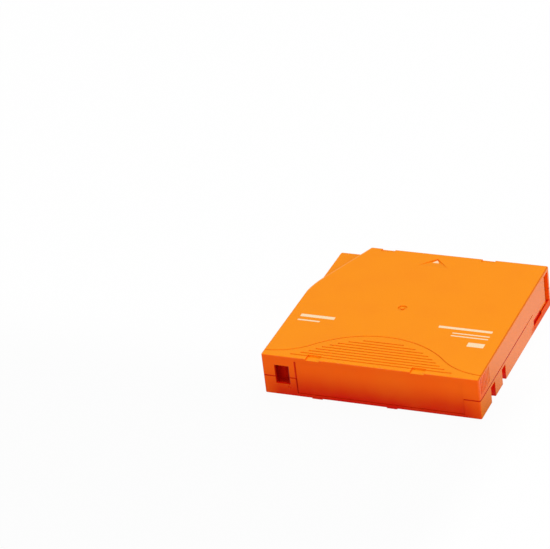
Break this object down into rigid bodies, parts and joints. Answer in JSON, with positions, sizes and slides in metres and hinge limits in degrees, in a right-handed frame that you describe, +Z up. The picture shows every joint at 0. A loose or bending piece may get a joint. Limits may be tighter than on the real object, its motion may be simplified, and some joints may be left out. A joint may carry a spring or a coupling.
{
  "type": "tape cleaning cartridge",
  "caption": "Flat moulded cartridge with a single reel of cleaning tape, a sprung side door, a reel brake freed from below, a stepped leading corner and a grip end with a label panel.",
  "frame": {"origin": "middle of the case's box, at the height of the resting pads", "axes": "+X right as seen from the label end, +Y the way the cartridge is pushed in, +Z up"},
  "size_m": [0.1054, 0.102, 0.0215],
  "materials": {
    "case_orange": "moulded orange plastic, half gloss with a fine grain",
    "screw_steel": "zinc plated",
    "spring_steel": "drawn spring wire",
    "pin_steel": "turned stainless steel",
    "clip_plastic": "matt moulded",
    "tape_film": "wound film edge",
    "reel_plastic": "natural moulded plastic",
    "brake_plastic": "natural moulded plastic",
    "slide_red": "matt moulded red",
    "board_green": "solder mask",
    "antenna_copper": "copper foil",
    "chip_black": "potting resin",
    "print_white": "thin printed ink"
  },
  "bodies": {
    "case": {"upper_shell": "case_orange", "lower_shell": "case_orange", "notch_pockets": "case_orange", "locating_bush": "case_orange", "case_screws": "screw_steel", "door_spring": "spring_steel", "brake_spring": "spring_steel", "leader_pin": "pin_steel", "leader_pin_clip": "clip_plastic", "leader_pin_spring": "spring_steel", "tape_leader": "tape_film", "memory_board": "board_green", "memory_antenna": "antenna_copper", "memory_chip": "chip_black"},
    "door": {"sliding_door": "case_orange"},
    "reel": {"reel_hub": "reel_plastic", "reel_upper_flange": "reel_plastic", "drive_plate": "pin_steel", "tape_pack": "tape_film"},
    "brake": {"brake_button": "brake_plastic"},
    "release": {"brake_release": "brake_plastic"},
    "protect": {"write_protect_slide": "slide_red"}
  },
  "joints": [
    {"name": "door_slide", "type": "slide", "parent": "case", "child": "door", "axis": [0, -1, 0], "range_m": [0, 0.02], "stiffness_N_per_m": 40, "springref_m": -0.008, "deforming": ["door_spring"]},
    {"name": "reel_spin", "type": "hinge", "parent": "case", "child": "reel", "pos_m": [-0.0022, 0.0005, 0], "axis": [0, 0, 1], "continuous": true},
    {"name": "release_lift", "type": "slide", "parent": "reel", "child": "release", "axis": [0, 0, 1], "range_m": [0, 0.0016]},
    {"name": "brake_lift", "type": "slide", "parent": "case", "child": "brake", "axis": [0, 0, 1], "range_m": [0, 0.0016], "stiffness_N_per_m": 150, "springref_m": -0.006, "deforming": ["brake_spring"]},
    {"name": "protect_slide", "type": "slide", "parent": "case", "child": "protect", "axis": [-1, 0, 0], "range_m": [0, 0.0062]}
  ],
  "couplings": [
    {"joint": "brake_lift", "follows": "release_lift", "ratio": 1}
  ]
}
